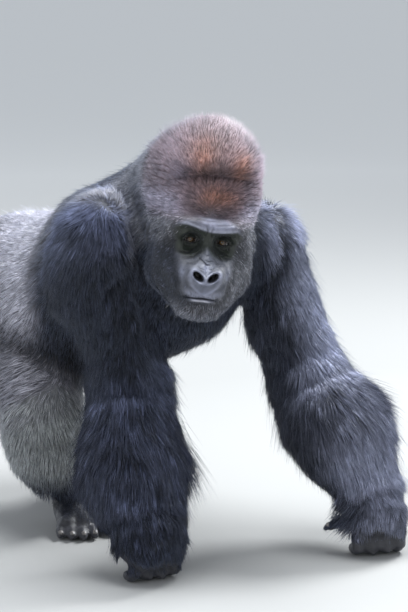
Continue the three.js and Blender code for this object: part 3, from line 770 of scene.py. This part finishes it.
strand = {  # the first two are shares of its length and its width, the others metres
    "bendAt": 0.42, "ridge": 0.35,
    "root": 0.0008, "lock": 0.011, "lockWave": 0.004, "beyond": 0.02, "clear": 0.002, "lowest": 0.0006,
}
tones = {  # how far locks and tufts differ, then the face's pale and dark hairs and the pale ones' share
    "lock": 0.34, "tuft": 0.3, "pale": 2.9, "dark": 0.62, "paleShare": 0.25,
}
lowest, highest = np.array(startBox[0]) - strand["beyond"], np.array(startBox[1]) + strand["beyond"]
lowest[2] = strand["clear"]


# Each root's triangle and its place in it, closer together where the coat is denser.
def sowRoots(chosen, count):
    weight = area[chosen] * fields[triangles[chosen], 2].mean(1)
    steps = np.cumsum(weight)
    at = (np.arange(count) + rng.random(count)) / count * steps[-1]
    pick = chosen[np.minimum(np.searchsorted(steps, at), len(chosen) - 1)]
    return triangles[pick], rng.dirichlet((1, 1, 1), count)


# Which lock each root belongs to.
def locksOf(root):
    wander = strand["lockWave"] * np.stack([waves(root, 0.01) for _ in range(3)], 1)
    cell = np.floor((root + wander) / strand["lock"]).astype(int)
    _, lock = np.unique(cell, axis=0, return_inverse=True)
    return lock.ravel()


# Each tuft has a point in the skin, three round its bend, and its end.
def tuftMesh(name, places):
    shape = np.array([[0, 2, 1], [0, 3, 2], [0, 1, 3], [4, 1, 2], [4, 2, 3], [4, 3, 1]])
    faces = (np.arange(len(places) // 5)[:, None, None] * 5 + shape).reshape(-1, 3)
    mesh = bpy.data.meshes.new(name)
    mesh.vertices.add(len(places))
    mesh.vertices.foreach_set("co", places.astype(np.float32).ravel())
    mesh.loops.add(faces.size)
    mesh.loops.foreach_set("vertex_index", faces.astype(np.int32).ravel())
    mesh.polygons.add(len(faces))
    mesh.polygons.foreach_set("loop_start", np.arange(0, faces.size, 3, dtype=np.int32))
    shadeSmooth(mesh)
    return mesh


# On the unwrap each has a small square: the lower half for its root, the upper half for its tip.
def layOut(mesh, centres):
    square = np.array([[0, -1], [-1, 0], [1, 0], [0, 1]]) * unwrap["square"]
    square = square[[0, 1, 2, 0, 2, 1, 0, 1, 2, 3, 1, 2, 3, 2, 1, 3, 1, 2]]
    uv = (centres[:, None, :] + square[None]).reshape(-1, 2)
    layer = mesh.uv_layers.new(name="OFBake")
    layer.data.foreach_set("uv", np.clip(uv, 0, 1).astype(np.float32).ravel())


# Tufts differ in tone, lock by lock and one by one, and the face is grizzled.
def colourTufts(mesh, field, lock, grizzled):
    lockTone = rng.normal(0, tones["lock"], lock.max() + 1)
    contrast = 1.55 - 1.1 * np.clip(field[:, 6] / 0.2, 0, 1)  # pale hair varies less
    tone = np.exp((rng.normal(0, tones["tuft"], len(field)) + lockTone[lock]) * contrast)[:, None]
    if grizzled:
        pale = rng.random(len(field)) < tones["paleShare"]
        tone = tone * np.where(pale, tones["pale"], tones["dark"])[:, None]
    inner = field[:, 6:9] * tone
    outer = field[:, 9:12] * tone
    # painted shade: each tuft's root is a quarter as bright as its middle, so the gaps between tufts look
    # dark
    mark(mesh, "markingsAndPaintedLight", np.stack([inner * 0.25, inner, inner, inner, outer], 1).reshape(-1, 3))


def makeCoat(name, chosen, count):
    corners, share = sowRoots(chosen, count)

    def blend(values):
        return (values[corners] * share[:, :, None]).sum(1)

    root = blend(points)
    normal = unit(blend(normals))
    field = blend(fields)
    deep = blend(depth[:, None].astype(float))[:, 0]
    standing = field[:, 12]
    long = field[:, 0] * rng.uniform(0.7, 1.25, count)
    wide = field[:, 1] * rng.uniform(0.75, 1.25, count) * 1
    stray = rng.random(count) < 0.07 + 0.25 * standing  # finer and longer than the rest
    long = np.where(stray, long * 1.35, long)
    wide = np.where(stray, wide * (0.55 + 0.3 * standing), wide)
    along = field[:, 3:6]
    along = unit(along - (along * normal).sum(1, keepdims=True) * normal)
    aside = np.cross(normal, along)
    turn = np.radians(9 * waves(root, 0.02) + 5 * waves(root, 0.007) + rng.normal(0, 6, count))
    along, aside = (
        along * np.cos(turn)[:, None] + aside * np.sin(turn)[:, None],
        aside * np.cos(turn)[:, None] - along * np.sin(turn)[:, None],
    )
    rise = np.clip(deep / np.maximum(field[:, 0], 1), 0.12, 0.62) * rng.uniform(0.75, 1.2, count)
    rise *= 1 + 0.12 * waves(root, 0.012) + (0.3 + 0.4 * standing) * stray
    rise += 0.14 * standing
    first = np.clip(rise * 1.35, 0.1, 0.85)[:, None]
    last = np.clip(rise * 0.72, 0.03, 0.6)[:, None]

    def way(up):
        return along * np.sqrt(1 - up**2) + normal * up

    bend = root + way(first) * (long * strand["bendAt"] * mm)[:, None]
    end = bend + way(last) * (long * (1 - strand["bendAt"]) * mm)[:, None]
    lock = locksOf(root)  # neighbours lean together into locks
    crowd = np.bincount(lock)
    middle = np.stack([np.bincount(lock, end[:, k])[lock] / crowd[lock] for k in range(3)], 1)
    pull = np.where(field[:, 0] > 12, 0.5, 0.2) * (1 - 0.8 * stray) * (1 - 0.5 * standing)
    end += (middle - end) * pull[:, None]
    for point in (bend, end):  # no hair reaches the floor, or far beyond the solids
        point[:] = np.clip(point, lowest, highest)
    half = aside * (wide * 0.5 * mm)[:, None]
    lift = np.cross(way(last), aside) * (-wide * strand["ridge"] * mm)[:, None]
    ring = [bend + half - lift * 0.4, bend - half - lift * 0.4, bend + lift]
    places = np.stack([root - normal * strand["root"], *ring, end], 1).reshape(-1, 3)
    places[:, 2] = np.maximum(places[:, 2], strand["lowest"])
    mesh = tuftMesh(name, places)
    layOut(mesh, placesOn(unwrapOf(name + "_unwrap", chosen), root))
    colourTufts(mesh, field, lock, grizzled=name == "coat_face")
    mesh.update()
    mesh.validate()
    return newObject(name, mesh)


coats = []
for name, (starts, slotName, count) in pieces.items():
    wanted = [i for i, n in enumerate(fleshNames) if n.startswith(starts)]
    chosen = np.isin(triangleNode, wanted)
    if name in ("coat_face", "coat_crown"):
        chosen &= (z[triangles].mean(1) > 48) == (name == "coat_crown")
    chosen = np.nonzero(chosen)[0]
    made = makeCoat(name, chosen, count)
    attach(made, "root")
    coats.append(made)
    print(name, len(made.data.polygons), "faces")


# Materials.
def material(name, settings):
    made = bpy.data.materials.new(name)
    made.use_nodes = True
    nodes, links = made.node_tree.nodes, made.node_tree.links
    shader = nodes["Principled BSDF"]
    for socket, value in settings.items():
        shader.inputs[socket].default_value = value
    place = nodes.new("ShaderNodeTexCoord").outputs["Object"]
    return made, nodes, links, shader, place


def noise(nodes, links, place, scale, detail=3):
    made = nodes.new("ShaderNodeTexNoise")
    made.inputs["Scale"].default_value = scale
    made.inputs["Detail"].default_value = detail
    links.new(place, made.inputs["Vector"])
    return made.outputs["Fac"]


def ranged(nodes, links, value, low, high, start=0.3, stop=0.7):
    made = nodes.new("ShaderNodeMapRange")
    for socket, number in zip(("From Min", "From Max", "To Min", "To Max"), (start, stop, low, high)):
        made.inputs[socket].default_value = number
    links.new(value, made.inputs["Value"])
    return made.outputs["Result"]


def combined(nodes, links, operation, *values):
    made = nodes.new("ShaderNodeMath")
    made.operation = operation
    for socket, value in zip(made.inputs, values):
        if isinstance(value, float):
            socket.default_value = value
        else:
            links.new(value, socket)
    return made.outputs[0]


def mixed(nodes, links, share, first, second):
    made = nodes.new("ShaderNodeMix")
    made.data_type = "RGBA"
    made.inputs["A"].default_value = (*first, 1)
    made.inputs["B"].default_value = (*second, 1)
    links.new(share, made.inputs["Factor"])
    return made.outputs["Result"]


# The colour of the pattern and painted light at each point, lighter and darker by a tone.
def baseFromPatternAndLight(nodes, links, tone, shader):
    colour = nodes.new("ShaderNodeAttribute")
    colour.attribute_name = "markingsAndPaintedLight"
    scaled = nodes.new("ShaderNodeVectorMath")
    scaled.operation = "SCALE"
    links.new(colour.outputs["Color"], scaled.inputs[0])
    links.new(tone, scaled.inputs["Scale"])
    links.new(scaled.outputs[0], shader.inputs["Base Color"])


def bumped(nodes, links, height, shader, distance, strength=0.6):
    made = nodes.new("ShaderNodeBump")
    made.inputs["Distance"].default_value = distance
    made.inputs["Strength"].default_value = strength
    links.new(height, made.inputs["Height"])
    links.new(made.outputs["Normal"], shader.inputs["Normal"])


hair, nodes, links, shader, place = material("hair", {
    "Specular IOR Level": 0.35, "Sheen Weight": 0.18,
    "Sheen Roughness": 0.35, "Sheen Tint": (0.6, 0.72, 1, 1),
})
broad = ranged(nodes, links, noise(nodes, links, place, 9), 0.8, 1.2)
near = ranged(nodes, links, noise(nodes, links, place, 60), 0.8, 1.25)
baseFromPatternAndLight(nodes, links, combined(nodes, links, "MULTIPLY", broad, near), shader)
links.new(ranged(nodes, links, noise(nodes, links, place, 25), 0.4, 0.6), shader.inputs["Roughness"])
bumped(nodes, links, noise(nodes, links, place, 900, 1), shader, 0.0002)
for made in coats:
    made.data.materials.append(hair)

leather, nodes, links, shader, place = material("leather", {
    "Sheen Weight": 0.08, "Sheen Tint": (0.8, 0.85, 1, 1),
})
baseFromPatternAndLight(nodes, links, ranged(nodes, links, noise(nodes, links, place, 45, 5), 0.75, 1.3), shader)
links.new(ranged(nodes, links, noise(nodes, links, place, 70, 4), 0.36, 0.62), shader.inputs["Roughness"])
coarse, grain = noise(nodes, links, place, 130, 5), noise(nodes, links, place, 420, 4)
bumped(nodes, links, combined(nodes, links, "MULTIPLY_ADD", coarse, 2.5, grain), shader, 0.0009, 0.8)
skinMesh.materials.append(leather)

# The skin's colours: dark under the coat, bare grey-black on the face, hands and feet, with painted sheen,
# highlights and shade on the face.
inHead = toHead(points)
x, y, z = inHead.T
skinColour = fields[:, 6:9] * 0.45
bareParts = nodesNamed(("ear", "thumb", "big_toe"))
bareSkin = np.clip(bareNow + palms + knuckle + toes + bareParts, 0, 1)[:, None]
x = x + faceAside
across = abs(x)
bareColour = np.tile([0.034, 0.034, 0.04], (len(points), 1))


def shade(where, rgb):
    where = np.clip(where * isHead, 0, 1)[:, None]
    bareColour[:] = bareColour * (1 - where) + np.array(rgb) * where


browLow = browEdge(x)
brow = ease(z, browLow - 2, browLow + 3) * ease(64 - z, 0, 8) * ease(84 - across, 0, 26)
shade(ease(-y, -80, -50), (0.055, 0.058, 0.075))
# painted sheen on the skin round the mouth and below it
shade(ease(-z, 90, 104) * ease(50 - across, 0, 14), (0.12, 0.125, 0.16))
# painted sheen on the brow's bare skin, brightest in its middle, and a painted highlight along its lower
# edge
shade(brow, (0.1, 0.1, 0.13))
shade(brow * ease(x, -26, -2) * ease(62 - x, 0, 20), (0.23, 0.235, 0.31))
shade(hill(z, browLow + 3, 3) * ease(74 - across, 0, 26) * 0.8, (0.34, 0.35, 0.43))
# painted sheen on the nose's ridge, on its plate and beside it, with painted highlights on the plate's
# rims, on the bridge and round the nostrils
shade(hill(x, 0, 16) * ease(-z, 8, 24), (0.08, 0.086, 0.112))
heartSide = np.interp(z, [-106, -98, -88, -76, -64, -50, -38], [0, 15, 27, 33, 34, 28, 16])
shade(ease(heartSide + 2 - across, -3, 4) * ease(-z, 36, 46), (0.105, 0.112, 0.145))
shade(hill(across, heartSide - 2, 4.5) * ease(-z, 46, 58) * ease(z, -107, -103), (0.19, 0.198, 0.255))
shade(hill(x, 0, 9) * hill(z, -50, 9) + hill(nostril, 1.45, 0.28) * 0.8, (0.21, 0.22, 0.29))
shade(hill(across, 52, 7) * hill(z, -66, 13), (0.17, 0.18, 0.24))
# painted shade inside the nostrils
shade(ease(1.15 - nostrilRings(across, z, nostrils["dark"]), 0, 0.25), (0.006, 0.005, 0.006))
lipLine = mouthLine(across)
# painted sheen on the upper lip and a painted highlight on the lower lip
shade(hill(z, lipLine + 6, 7) * ease(44 - across, 0, 16) * 0.85, (0.22, 0.23, 0.3))
shade(hill(z, lipLine - 4.5, 2.4) * ease(24 - abs(x + 3), 0, 12), (0.42, 0.42, 0.48))
# painted shade in the mouth's line
shade(hill(z, lipLine, 1.6) * ease(42 - across, 0, 8), (0.012, 0.011, 0.013))
# the sockets and the bridge between them are near black below the brow: dark skin, darkened further as
# painted shade under the brow
socket = ease(1.14 - np.hypot((across - 40) / 42, (z - 2) / 35), 0, 0.3)
bridge = ease(34 - across, 0, 14) * ease(z, -16, -6)
shade(np.maximum(socket, bridge) * ease(browLow + 1 - z, -2, 4), (0.012, 0.016, 0.01))
# painted shade where the lids meet the eyeballs
shade(lidEdge, (0.006, 0.005, 0.005))
# painted shade in the creases
bareColour *= 1 - 0.75 * np.clip(-creases / 3.5, 0, 1)[:, None]  # dark in the creases
skinColour = skinColour * (1 - bareSkin) + bareColour * bareSkin
mark(skinMesh, "markingsAndPaintedLight", relax(skinColour, edges, 1))
print("skin painted")

# Eyes: a wet ball, brown iris, round pupil.
iris = (  # from the pupil's middle out: place and colour
    (0.15, (0.004, 0.003, 0.003)), (0.18, (0.085, 0.05, 0.016)), (0.3, (0.06, 0.03, 0.01)),
    (0.37, (0.02, 0.01, 0.005)), (0.44, (0.012, 0.008, 0.006)), (0.7, (0.04, 0.026, 0.02)),
)
eyeball, nodes, links, shader, place = material("eye", {"Specular IOR Level": 0.6})
ringOf = nodes.new("ShaderNodeAttribute")
ringOf.attribute_name = "ring"
ramp = nodes.new("ShaderNodeValToRGB")
ramp.color_ramp.elements[0].position = 0
ramp.color_ramp.elements[0].color = (0.004, 0.003, 0.003, 1)
for position, rgb in iris:
    ramp.color_ramp.elements.new(position).color = (*rgb, 1)
streaks = noise(nodes, links, place, 900, 2)
links.new(combined(nodes, links, "MULTIPLY_ADD", streaks, 0.06, ringOf.outputs["Fac"]), ramp.inputs["Fac"])
links.new(ramp.outputs["Color"], shader.inputs["Base Color"])
links.new(ranged(nodes, links, noise(nodes, links, place, 300), 0.03, 0.09), shader.inputs["Roughness"])
bumped(nodes, links, noise(nodes, links, place, 500, 1), shader, 0.0001, 0.2)
viewPoint = headOrigin + np.array([-3.3535, -4.2835, 0.820])  # both eyes look there
for s in ("right", "left"):
    centre = eyeCentre[s] - eyeSize["forward"] * mm * headAxes[:, 1]
    look = unit(viewPoint - centre)
    ball = bmesh.new()
    turn = Vector(look).to_track_quat("Z", "Y").to_matrix().to_4x4()
    radius = eyeSize["radius"] * mm
    bmesh.ops.create_uvsphere(ball, u_segments=48, v_segments=40, radius=radius, matrix=turn)
    mesh = bpy.data.meshes.new(f"eyeball_{s}")
    ball.to_mesh(mesh)
    ball.free()
    places = pointsOf(mesh)
    angle = np.arccos(np.clip(unit(places) @ look, -1, 1))
    places *= (1 + 0.07 * ease(0.52 - angle, 0, 0.5))[:, None]  # the cornea
    mark(mesh, "ring", angle / 1.4)
    setPoints(mesh, places + centre)
    shadeSmooth(mesh)
    mesh.materials.append(eyeball)
    made = newObject(f"eyeball_{s}", mesh)
    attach(made, "root")
    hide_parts(f"eye_{s}")

# Nails.
nail = {"dark": (0.09, 0.085, 0.085), "pale": (0.24, 0.22, 0.21), "voxel": 0.8, "smoothing": 8}
horn, nodes, links, shader, place = material("nail", {})
tone = noise(nodes, links, place, 130, 3)
links.new(mixed(nodes, links, tone, nail["dark"], nail["pale"]), shader.inputs["Base Color"])
links.new(ranged(nodes, links, tone, 0.3, 0.5), shader.inputs["Roughness"])
bumped(nodes, links, noise(nodes, links, place, 700, 2), shader, 0.0003)
for name in [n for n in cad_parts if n.startswith("nail")]:
    made = newObject(name.replace("nail", "plate"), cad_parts[name].data.copy())
    closed = made.modifiers.new("closed", "REMESH")
    closed.mode = "VOXEL"
    closed.voxel_size = nail["voxel"] * mm
    worn = made.modifiers.new("worn", "SMOOTH")
    worn.iterations = nail["smoothing"]
    made.data = applied(made)
    made.modifiers.clear()
    made.data.materials.clear()
    made.data.materials.append(horn)
    shadeSmooth(made.data)
    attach(made, "root")
    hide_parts(name)
print("eyes and nails made")

# Floor, light and camera.
studio = {  # metres, watts and degrees
    "floor": 60, "near": (0.32, 0.32, 0.315), "far": (0.64, 0.64, 0.63), "fade": (1, 6),
    "brightest": (1.2, 0.3, 0), "sky": (0.86, 0.92, 1, 1), "skyStrength": 0.85,
    "azimuth": 38, "pitch": 10, "sensor": 36, "lens": 152.9,
}
lamps = {  # place, what it is turned to, size, power and colour
    "overhead": ((-0.2, -0.2, 4.2), (0, 0, 0.5), 2.4, 205, (0.95, 0.98, 1)),
    "left_rim": ((2.8, 0.1, 3.2), (0, 0, 0.6), 1.6, 255, (0.95, 0.98, 1)),
    "front": ((-3.2, -3.0, 2.2), (-0.1, -0.3, 0.6), 2.2, 20, (1, 1, 1)),
}
ground = bmesh.new()
bmesh.ops.create_grid(ground, x_segments=2, y_segments=2, size=studio["floor"])
mesh = bpy.data.meshes.new("floor")
ground.to_mesh(mesh)
ground.free()
floor = newObject("floor", mesh)
floor.location.z = -0.0005
paint, nodes, links, shader, place = material("floor", {"Roughness": 0.85})
# painted light: the floor is darker near where the lamps are strongest and paler far off
away = nodes.new("ShaderNodeVectorMath")  # paler away from where the lamps are strongest
away.operation = "DISTANCE"
away.inputs[1].default_value = studio["brightest"]
links.new(place, away.inputs[0])
distance = ranged(nodes, links, away.outputs["Value"], 0, 1, *studio["fade"])
links.new(mixed(nodes, links, distance, studio["near"], studio["far"]), shader.inputs["Base Color"])
mesh.materials.append(paint)

world = bpy.data.worlds.new("sky")
scene.world = world
world.use_nodes = True
backdrop = world.node_tree.nodes["Background"]
backdrop.inputs["Color"].default_value = studio["sky"]
backdrop.inputs["Strength"].default_value = studio["skyStrength"]
scene.view_settings.view_transform = "Standard"

for name, (place, aim, size, power, rgb) in lamps.items():
    data = bpy.data.lights.new(name, "AREA")
    data.shape = "DISK"
    data.size = size
    data.energy = power
    data.color = rgb
    made = bpy.data.objects.new(name, data)
    made.location = place
    made.rotation_euler = (Vector(aim) - Vector(place)).to_track_quat("-Z", "Y").to_euler()
    scene.collection.objects.link(made)

camera = bpy.data.objects.new("camera", bpy.data.cameras.new("camera"))
scene.collection.objects.link(camera)
scene.camera = camera
azimuth, pitch = math.radians(studio["azimuth"]), math.radians(studio["pitch"])
gaze = Vector((math.sin(azimuth) * math.cos(pitch), math.cos(azimuth) * math.cos(pitch), -math.sin(pitch)))
camera.location = viewPoint
camera.rotation_euler = gaze.to_track_quat("-Z", "Y").to_euler()
camera.data.sensor_width = studio["sensor"]
camera.data.lens = studio["lens"]
camera.data.clip_end = 200
print("floor, light and camera set")
